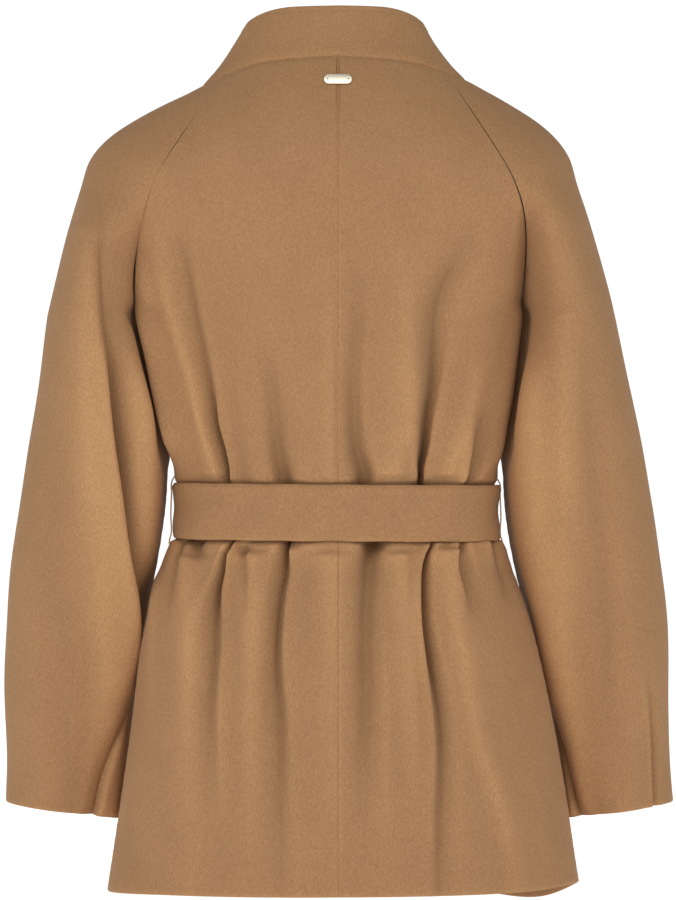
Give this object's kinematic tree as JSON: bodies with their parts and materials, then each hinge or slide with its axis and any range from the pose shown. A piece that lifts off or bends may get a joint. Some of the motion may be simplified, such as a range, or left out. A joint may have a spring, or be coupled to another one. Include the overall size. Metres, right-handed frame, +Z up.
{
  "type": "belted wool coat",
  "caption": "Short camel wool coat, filled out as worn but empty: funnel collar, raglan sleeves, wrapped front and a wide tied belt of the same cloth.",
  "frame": {"origin": "centre of the neck opening at the height of the collar seam at the centre back, where the wearer's shoulders carry the coat", "axes": "+Z up, +Y out of the back, +X to the wearer's left; the front faces -Y"},
  "size_m": [0.6319, 0.2999, 0.8342],
  "materials": {
    "wool": "camel wool melton with a short brushed nap, matt",
    "thread": "twisted sewing thread",
    "plate_metal": "pale gold plate, satin"
  },
  "bodies": {
    "root": {"back_left": "wool", "back_right": "wool", "front_left": "wool", "front_right": "wool", "sleeve_left": "wool", "sleeve_right": "wool", "collar": "wool", "belt": "wool", "belt_knot": "wool", "belt_end_left": "wool", "belt_end_right": "wool", "belt_loop_left": "thread", "belt_loop_right": "thread", "neck_plate": "plate_metal"}
  },
  "joints": []
}
